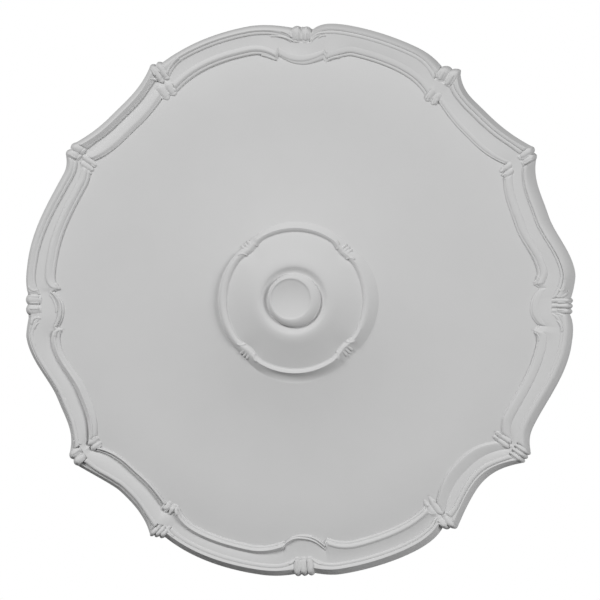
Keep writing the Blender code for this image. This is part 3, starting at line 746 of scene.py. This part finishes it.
def middle_section(sizes):
    """The turned middle from the dome's foot to the middle of the dish, as radius, height and the share
    by which a ring follows the dish off the button's own middle."""
    base = sizes.dome_base_height
    top = base + sizes.dome_rise
    moat = sizes.button_radius + sizes.moat_width
    floor = top - sizes.moat_depth
    lip = top + sizes.button_rise
    section = []
    for share in DOME_SHARES:
        height = base + sizes.dome_rise * smooth_curve(DOME, share)
        section.append((mix(sizes.ring_inner_radius, moat, share), height, 0.0))

    corner = sizes.button_radius + MOAT_CORNER
    section += [(radius, height, 0.0)
                for radius, height, _ in curved(moat, corner, MOAT_STEPS, top, floor, MOAT_FULLNESS)]
    shoulder = floor + (lip - floor) * SHOULDER
    for inwards, up in BUTTON_WALL:
        section.append((sizes.button_radius - inwards, mix(floor, shoulder, up), 0.0))
    shoulder_radius = sizes.button_radius - SHOULDER_IN
    section.append((shoulder_radius, shoulder, SHOULDER_FOLLOWS))
    section += curved(shoulder_radius, sizes.dish_radius, CROWN_STEPS, shoulder, lip, CROWN_FULLNESS)

    for inwards, down in DISH_LIP:
        section.append((sizes.dish_radius - inwards, lip - down, 1.0))
    inwards, down = DISH_LIP[-1]
    for i in range(1, DISH_STEPS):
        share = i / DISH_STEPS
        depth = (sizes.dish_depth - down) * (1.0 - (1.0 - share) ** 2)
        section.append(((sizes.dish_radius - inwards) * (1.0 - share), lip - down - depth, 1.0))
    section.append((0.0, lip - sizes.dish_depth, 1.0))
    return section


class Skin:
    """A closed skin made of rings, from the back's edge to the middle of the face."""

    def __init__(self):
        self.places = []
        self.faces = []

    def ring(self, bearings, points):
        """Adds a ring from a bearing and (radius, height, lean) for each of its places."""
        added = []
        for bearing, (radius, height, lean) in zip(bearings, points):
            angle = math.radians(bearing + lean)
            added.append((bearing, len(self.places)))
            self.places.append((radius * math.sin(angle), -height, radius * math.cos(angle)))
        return added

    def join(self, outer, inner):
        """Fills between two rings, whatever their numbers of places."""
        def ahead(ring, index):
            return ring[index % len(ring)][0] + 360.0 * (index // len(ring))
        if [b for b, _ in outer] == [b for b, _ in inner]:
            for i in range(len(outer)):
                j = (i + 1) % len(outer)
                self.faces.append((outer[i][1], inner[i][1], inner[j][1], outer[j][1]))
            return
        i = j = 0
        while i < len(outer) or j < len(inner):
            a, b = outer[i % len(outer)][1], inner[j % len(inner)][1]
            if j >= len(inner) or (i < len(outer) and ahead(outer, i + 1) <= ahead(inner, j + 1)):
                self.faces.append((a, b, outer[(i + 1) % len(outer)][1]))
                i += 1
            else:
                self.faces.append((a, b, inner[(j + 1) % len(inner)][1]))
                j += 1

    def close(self, ring, centre, facing_back=False):
        """Closes a ring with a fan round a centre point."""
        middle = len(self.places)
        self.places.append(centre)
        for i in range(len(ring)):
            a, b = ring[i][1], ring[(i + 1) % len(ring)][1]
            self.faces.append((a, b, middle) if facing_back else (b, a, middle))

    def mesh(self, name):
        """The skin as a Blender mesh with its faces pointing outwards."""
        mesh = bpy.data.meshes.new(name)
        mesh.from_pydata(self.places, [], self.faces)
        mesh.update()
        mesh.validate()
        return mesh


def even_bearings(count):
    """Evenly spaced bearings."""
    return [360.0 * i / count for i in range(count)]


def casting_mesh(sizes):
    """The whole casting as one closed skin."""
    skin = Skin()
    bearings = station_bearings()
    sections = [border_section(sizes, b) for b in bearings]
    rings = [skin.ring(bearings, [s[k] for s in sections]) for k in range(len(sections[0]))]
    skin.close(rings[0], (0.0, 0.0, 0.0), facing_back=True)

    for count, section in ((FIELD_STATIONS, field_section), (RING_STATIONS, ring_section)):
        even = even_bearings(count)
        cuts = [section(sizes, b) for b in even]
        rings += [skin.ring(even, [cut[k] for cut in cuts]) for k in range(len(cuts[0]))]

    even = even_bearings(MIDDLE_STATIONS)
    middle = middle_section(sizes)
    off_x, off_z = sizes.dish_offset
    for radius, height, follows in middle[:-1]:
        ring = skin.ring(even, [(dome_radius(sizes, radius, b), height, 0.0) for b in even])
        for _, index in ring:
            x, y, z = skin.places[index]
            skin.places[index] = (x + off_x * follows, y, z + off_z * follows)
        rings.append(ring)
    for outer, inner in zip(rings, rings[1:]):
        skin.join(outer, inner)
    skin.close(rings[-1], (off_x, -middle[-1][1], off_z))
    return skin.mesh("ceiling_rose_casting")


def sheet_place(bearing, radius):
    """Right and up on the sheet of a bearing and radius."""
    angle = math.radians(bearing)
    return radius * math.sin(angle), radius * math.cos(angle)


def fan_lines(fan, turn=0.0):
    """The lines of a fan's folds on the sheet, turned by some degrees, each with its half width."""
    lines = []
    for i in range(fan.count):
        bearing = mix(fan.first, fan.last, i / (fan.count - 1)) + turn
        lines.append((fan.width, [sheet_place(bearing, fan.outer), sheet_place(bearing, fan.inner)]))
    return lines


def hook_line(hook, turn=0.0):
    """The bowed line of a hook on the sheet, turned by some degrees, with its half width."""
    x1, z1 = sheet_place(hook.start[0] + turn, hook.start[1])
    x2, z2 = sheet_place(hook.end[0] + turn, hook.end[1])
    run = math.hypot(x2 - x1, z2 - z1)
    points = []
    for i in range(HOOK_STEPS + 1):
        t = i / HOOK_STEPS
        out = 4.0 * t * (1.0 - t) * hook.bow / run
        points.append((mix(x1, x2, t) - out * (z2 - z1), mix(z1, z2, t) + out * (x2 - x1)))
    return hook.width, points


def all_fold_lines():
    """The lines of all the small folds, of the border's knots and the ring's."""
    lines = [line for fan in RIM_FANS + RIB_FANS for line in fan_lines(fan)]
    lines += [hook_line(hook) for hook in RIM_HOOKS + RIB_HOOKS]
    for middle in RING_KNOT_BEARINGS:
        lines += fan_lines(RING_FAN, middle)
        lines += [hook_line(hook, middle) for hook in RING_HOOKS]
    return lines


def fold_lines_mesh(sizes):
    """The lines that the small folds run along, as an edge mesh flat on the back's plane, with half of
    each fold's width on its points."""
    places, edges, half_widths = [], [], []
    for half_width, points in all_fold_lines():
        for i, (x, z) in enumerate(points):
            if i:
                edges.append((len(places) - 1, len(places)))
            places.append((sheet(sizes, x), 0.0, sheet(sizes, z)))
            half_widths.append(sheet(sizes, half_width))
    mesh = bpy.data.meshes.new("fold_lines")
    mesh.from_pydata(places, edges, [])
    widths = mesh.attributes.new("half_width", "FLOAT", "POINT")
    widths.data.foreach_set("value", half_widths)
    return mesh


def add_node(tree, kind, label, inputs=None, **settings):
    """Adds a labelled node with its settings. Each input is given by its name or number, as a socket to
    link from or as a plain value."""
    node = tree.nodes.new(kind)
    node.label = label
    for name, value in settings.items():
        setattr(node, name, value)
    for key, value in (inputs or {}).items():
        if isinstance(value, bpy.types.NodeSocket):
            tree.links.new(value, node.inputs[key])
        else:
            node.inputs[key].default_value = value
    return node


def math_node(tree, label, operation, a, b=0.0):
    """The result of a math node on two sockets or plain numbers."""
    return add_node(tree, "ShaderNodeMath", label, {0: a, 1: b}, operation=operation).outputs["Value"]


def laid_lines(tree, given, parts, half):
    """The fold lines as smooth curves on the casting, sunk so that a fold of their width stands out by
    its rise."""
    lines = add_node(tree, "GeometryNodeObjectInfo", "Fold lines", {"Object": given["Fold lines"]})
    curves = add_node(tree, "GeometryNodeMeshToCurve", "Lines to curves",
                      {"Mesh": lines.outputs["Geometry"]})
    smooth = add_node(tree, "GeometryNodeCurveSplineType", "Smooth curves",
                      {"Curve": curves.outputs["Curve"]}, spline_type="CATMULL_ROM")
    even = add_node(tree, "GeometryNodeResampleCurve", "Even points",
                    {"Curve": smooth.outputs["Curve"], "Length": given["Spacing"]}, mode="LENGTH")
    before = add_node(tree, "ShaderNodeCombineXYZ", "In front of the face",
                      {"X": parts["X"], "Y": RAY_START, "Z": parts["Z"]})
    ray = add_node(tree, "GeometryNodeRaycast", "Height of the casting", {
        "Target Geometry": given["Geometry"], "Source Position": before.outputs["Vector"],
        "Ray Direction": (0.0, 1.0, 0.0), "Ray Length": RAY_LENGTH})
    hit = add_node(tree, "ShaderNodeSeparateXYZ", "Struck height", {"Vector": ray.outputs["Hit Position"]})
    eased = add_node(tree, "GeometryNodeBlurAttribute", "Eased height",
                     {"Value": hit.outputs["Y"], "Iterations": HEIGHT_EASING}, data_type="FLOAT")
    sunk = math_node(tree, "Sunk by its radius", "ADD", eased.outputs["Value"], half)
    level = math_node(tree, "Raised", "SUBTRACT", sunk, given["Rise"])
    laid = add_node(tree, "ShaderNodeCombineXYZ", "On the casting",
                    {"X": parts["X"], "Y": level, "Z": parts["Z"]})
    lay = add_node(tree, "GeometryNodeSetPosition", "Lay on the casting",
                   {"Geometry": even.outputs["Curve"], "Position": laid.outputs["Vector"]})
    return lay.outputs["Geometry"]


def fold_radius(tree, half):
    """The radius of a fold along its line, which closes in a quarter circle at either end."""
    way = add_node(tree, "GeometryNodeSplineParameter", "Way along").outputs["Length"]
    length = add_node(tree, "GeometryNodeSplineLength", "Whole length").outputs["Length"]
    left = math_node(tree, "Way left", "SUBTRACT", length, way)
    near = math_node(tree, "To the nearer end", "MINIMUM", way, left)
    share = math_node(tree, "In half widths", "DIVIDE", near, half)
    short = math_node(tree, "Within the round end", "MINIMUM", share, 1.0)
    gap = math_node(tree, "From full width", "SUBTRACT", 1.0, short)
    square = math_node(tree, "Squared", "MULTIPLY", gap, gap)
    rest = math_node(tree, "Left of the circle", "SUBTRACT", 1.0 + LEAST_END, square)
    root = math_node(tree, "Round end", "SQRT", rest)
    return math_node(tree, "Radius", "MULTIPLY", root, half)


def waved_face(tree, given, outwards):
    """The casting with its face waved in and out a little."""
    wave = add_node(tree, "ShaderNodeTexNoise", "Waves of the casting",
                    {"W": given["Seed"], "Scale": 70.0, "Detail": 2.0}, noise_dimensions="4D")
    centred = math_node(tree, "In and out", "SUBTRACT", wave.outputs["Fac"], 0.5)
    depth = math_node(tree, "Wave depth", "MULTIPLY", centred, given["Unevenness"])
    doubled = math_node(tree, "From crest to trough", "MULTIPLY", depth, 2.0)
    front = math_node(tree, "Only on the face", "LESS_THAN", outwards, FACE_STARTS)
    masked = math_node(tree, "Face wave", "MULTIPLY", doubled, front)
    push = add_node(tree, "ShaderNodeCombineXYZ", "Push", {"Y": masked})
    waved = add_node(tree, "GeometryNodeSetPosition", "Wave the face",
                     {"Geometry": given["Geometry"], "Offset": push.outputs["Vector"]})
    return waved.outputs["Geometry"]


def folds_tree():
    """Geometry nodes that lay round-ended folds along lines on the casting and wave its face a little."""
    tree = bpy.data.node_groups.new("folds_on_casting", "GeometryNodeTree")
    face = tree.interface
    face.new_socket("Geometry", in_out="INPUT", socket_type="NodeSocketGeometry")
    face.new_socket("Fold lines", in_out="INPUT", socket_type="NodeSocketObject")
    for name, value in (("Rise", 0.0006), ("Spacing", FOLD_SPACING), ("Unevenness", 0.00007)):
        socket = face.new_socket(name, in_out="INPUT", socket_type="NodeSocketFloat")
        socket.subtype = "DISTANCE"
        socket.default_value = value
    for name, value in (("Sides", FOLD_SIDES), ("Seed", WAVE_SEED)):
        face.new_socket(name, in_out="INPUT", socket_type="NodeSocketInt").default_value = value
    face.new_socket("Primer", in_out="INPUT", socket_type="NodeSocketMaterial")
    face.new_socket("Geometry", in_out="OUTPUT", socket_type="NodeSocketGeometry")

    given = add_node(tree, "NodeGroupInput", "Sizes").outputs
    place = add_node(tree, "GeometryNodeInputPosition", "Place").outputs["Position"]
    parts = add_node(tree, "ShaderNodeSeparateXYZ", "Across and up", {"Vector": place}).outputs
    half = add_node(tree, "GeometryNodeInputNamedAttribute", "Half width", {"Name": "half_width"},
                    data_type="FLOAT").outputs["Attribute"]
    circle = add_node(tree, "GeometryNodeCurvePrimitiveCircle", "Round section",
                      {"Radius": 1.0, "Resolution": given["Sides"]})
    sweep = add_node(tree, "GeometryNodeCurveToMesh", "Folds", {
        "Curve": laid_lines(tree, given, parts, half), "Profile Curve": circle.outputs["Curve"],
        "Scale": fold_radius(tree, half), "Fill Caps": True})
    rounded = add_node(tree, "GeometryNodeSetShadeSmooth", "Smooth folds",
                       {"Geometry": sweep.outputs["Mesh"]})

    join = add_node(tree, "GeometryNodeJoinGeometry", "Casting and folds")
    for part in (rounded.outputs["Geometry"], waved_face(tree, given, parts["Y"])):
        tree.links.new(part, join.inputs["Geometry"])
    real = add_node(tree, "GeometryNodeRealizeInstances", "Realize", {"Geometry": join.outputs["Geometry"]})
    painted = add_node(tree, "GeometryNodeSetMaterial", "Primer",
                       {"Geometry": real.outputs["Geometry"], "Material": given["Primer"]})
    add_node(tree, "NodeGroupOutput", "Result", {"Geometry": painted.outputs["Geometry"]})
    return tree


def add_modifier(thing, tree, values):
    """Puts a node tree on an object and sets its inputs by name."""
    modifier = thing.modifiers.new(tree.name, "NODES")
    modifier.node_group = tree
    sockets = {item.name: item.identifier for item in tree.interface.items_tree
               if item.item_type == "SOCKET" and item.in_out == "INPUT"}
    for name, value in values.items():
        modifier[sockets[name]] = value
    return modifier


def made_plain(thing):
    """Turns an object with modifiers into a plain mesh."""
    bpy.context.view_layer.update()
    evaluated = thing.evaluated_get(bpy.context.evaluated_depsgraph_get())
    mesh = bpy.data.meshes.new_from_object(evaluated)
    old = thing.data
    thing.modifiers.clear()
    thing.data = mesh
    mesh.name = old.name
    bpy.data.meshes.remove(old)


def primed_white_material(finish):
    """Matt sprayed primer on rigid foam: soft clouds, a fine grain and the slow swell of the casting."""
    material = bpy.data.materials.new("primed_white_paint")
    material.use_nodes = True
    tree = material.node_tree
    shader = tree.nodes["Principled BSDF"]
    shader.inputs["Roughness"].default_value = 0.68
    shader.inputs["Specular IOR Level"].default_value = 0.25
    shader.inputs["Metallic"].default_value = 0.0

    place = add_node(tree, "ShaderNodeTexCoord", "Place on the rose").outputs["Object"]
    cloud = add_node(tree, "ShaderNodeTexNoise", "Clouds in the primer",
                     {"Vector": place, "Scale": 26.0, "Detail": 4.0, "Roughness": 0.55})
    tint = add_node(tree, "ShaderNodeMix", "Thinner and thicker primer", {
        "Factor": cloud.outputs["Fac"], "A": (*finish.primer_shade, 1.0), "B": (*finish.primer, 1.0)},
        data_type="RGBA")
    tree.links.new(tint.outputs["Result"], shader.inputs["Base Color"])

    grain = add_node(tree, "ShaderNodeTexNoise", "Fine sprayed grain",
                     {"Vector": place, "Scale": 900.0, "Detail": 3.0})
    swell = add_node(tree, "ShaderNodeTexNoise", "Slow swell of the casting",
                     {"Vector": place, "Scale": 120.0, "Detail": 2.0})
    height = add_node(tree, "ShaderNodeMath", "Grain over swell",
                      {0: grain.outputs["Fac"], 1: GRAIN_SHARE, 2: swell.outputs["Fac"]},
                      operation="MULTIPLY_ADD")
    bump = add_node(tree, "ShaderNodeBump", "Surface of the primer",
                    {"Strength": 0.25, "Distance": 0.0002, "Height": height.outputs["Value"]})
    tree.links.new(bump.outputs["Normal"], shader.inputs["Normal"])
    return material


class ROSE_OT_casting(bpy.types.Operator):
    """Adds the moulding with its border, field, ring, dome and button"""
    bl_idname = "rose.casting"
    bl_label = "Add casting"

    def execute(self, context):
        scene = context.scene
        mesh = casting_mesh(scene.rose_sizes)
        material = primed_white_material(scene.rose_finish)
        mesh.materials.append(material)
        mesh.shade_smooth()
        mesh.set_sharp_from_angle(angle=math.radians(40.0))
        casting = bpy.data.objects.new("ceiling_rose_casting", mesh)
        scene.collection.objects.link(casting)
        lines = bpy.data.objects.new("fold_lines", fold_lines_mesh(scene.rose_sizes))
        scene.collection.objects.link(lines)
        add_modifier(casting, folds_tree(), {
            "Fold lines": lines, "Rise": scene.rose_sizes.fold_rise,
            "Unevenness": scene.rose_sizes.unevenness, "Primer": material})
        made_plain(casting)
        bpy.data.objects.remove(lines)
        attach(casting, "root")
        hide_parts(NODE)
        return {"FINISHED"}


def aim(thing, place, target):
    """Puts a lamp or camera at a place, looking at a target."""
    thing.location = place
    thing.rotation_euler = (Vector(target) - Vector(place)).to_track_quat("-Z", "Y").to_euler()


def around(azimuth, elevation, distance):
    """A place at a distance from the rose, seen from its face."""
    a, e = math.radians(azimuth), math.radians(elevation)
    return (distance * math.sin(a) * math.cos(e), -distance * math.cos(a) * math.cos(e),
            distance * math.sin(e))


def add_lamp(scene, name, azimuth, elevation, energy):
    """Adds a round soft lamp aimed at the rose."""
    lamp = bpy.data.lights.new(name, "AREA")
    lamp.shape = "DISK"
    lamp.size = LAMP_SIZE
    lamp.energy = energy
    thing = bpy.data.objects.new(name, lamp)
    scene.collection.objects.link(thing)
    thing.visible_camera = False
    aim(thing, around(azimuth, elevation, LAMP_DISTANCE), (0.0, 0.0, 0.0))


def studio_world():
    """A white backdrop in a dim room, so that the lamps alone model the relief."""
    world = bpy.data.worlds.new("white_studio")
    world.use_nodes = True
    tree = world.node_tree
    background = tree.nodes["Background"]
    seen = add_node(tree, "ShaderNodeLightPath", "What is seen and what lights")
    blend = add_node(tree, "ShaderNodeMix", "Dim room, white backdrop", {
        "Factor": seen.outputs["Is Camera Ray"], "A": (ROOM_LIGHT, ROOM_LIGHT, ROOM_LIGHT, 1.0),
        "B": (1.0, 1.0, 1.0, 1.0)}, data_type="RGBA")
    tree.links.new(blend.outputs["Result"], background.inputs["Color"])
    background.inputs["Strength"].default_value = 1.0
    return world


def add_floor(scene, colour):
    """Adds a round pale floor far under the rose."""
    mesh = bpy.data.meshes.new("studio_floor")
    turns = [2.0 * math.pi * i / FLOOR_CORNERS for i in range(FLOOR_CORNERS)]
    rim = [(FLOOR_RADIUS * math.cos(turn), FLOOR_RADIUS * math.sin(turn), -FLOOR_DROP) for turn in turns]
    mesh.from_pydata(rim, [], [tuple(range(FLOOR_CORNERS))])
    material = bpy.data.materials.new("pale_floor")
    material.use_nodes = True
    shader = material.node_tree.nodes["Principled BSDF"]
    shader.inputs["Base Color"].default_value = (*colour, 1.0)
    shader.inputs["Roughness"].default_value = 0.9
    mesh.materials.append(material)
    floor = bpy.data.objects.new("studio_floor", mesh)
    scene.collection.objects.link(floor)


def add_camera(scene):
    """Adds the camera, a little to the right of the rose's own axis, with a very long lens."""
    lens = bpy.data.cameras.new("rose_camera")
    lens.lens = CAMERA_LENS
    lens.sensor_width = SENSOR_WIDTH
    lens.clip_end = CAMERA_SEES_TO
    camera = bpy.data.objects.new("rose_camera", lens)
    scene.collection.objects.link(camera)
    aim(camera, around(CAMERA_AZIMUTH, CAMERA_ELEVATION, CAMERA_DISTANCE), CAMERA_TARGET)
    scene.camera = camera


class ROSE_OT_stage(bpy.types.Operator):
    """Adds the white surroundings, the soft lamps, the floor and the camera"""
    bl_idname = "rose.stage"
    bl_label = "Add stage"

    def execute(self, context):
        scene = context.scene
        scene.view_settings.view_transform = "Standard"
        scene.world = studio_world()
        for name, azimuth, elevation, energy in LAMPS:
            add_lamp(scene, name, azimuth, elevation, energy)
        add_floor(scene, scene.rose_finish.floor)
        add_camera(scene)
        return {"FINISHED"}


class ROSE_PT_panel(bpy.types.Panel):
    """Lists the sizes, the colours and the steps"""
    bl_idname = "ROSE_PT_panel"
    bl_label = "Ceiling rose"
    bl_space_type = "VIEW_3D"
    bl_region_type = "UI"
    bl_category = "Rose"

    def draw(self, context):
        for group in (context.scene.rose_sizes, context.scene.rose_finish):
            box = self.layout.box()
            for name in group.__annotations__:
                box.prop(group, name)
        for operator in (ROSE_OT_casting, ROSE_OT_stage):
            self.layout.operator(operator.bl_idname)


CLASSES = (RoseSizes, RoseFinish, ROSE_OT_casting, ROSE_OT_stage, ROSE_PT_panel)


def register():
    for item in CLASSES:
        bpy.utils.register_class(item)
    bpy.types.Scene.rose_sizes = bpy.props.PointerProperty(type=RoseSizes)
    bpy.types.Scene.rose_finish = bpy.props.PointerProperty(type=RoseFinish)


def unregister():
    del bpy.types.Scene.rose_sizes
    del bpy.types.Scene.rose_finish
    for item in reversed(CLASSES):
        bpy.utils.unregister_class(item)


def main():
    register()
    bpy.ops.rose.casting()
    bpy.ops.rose.stage()


if __name__ == "__main__":
    main()
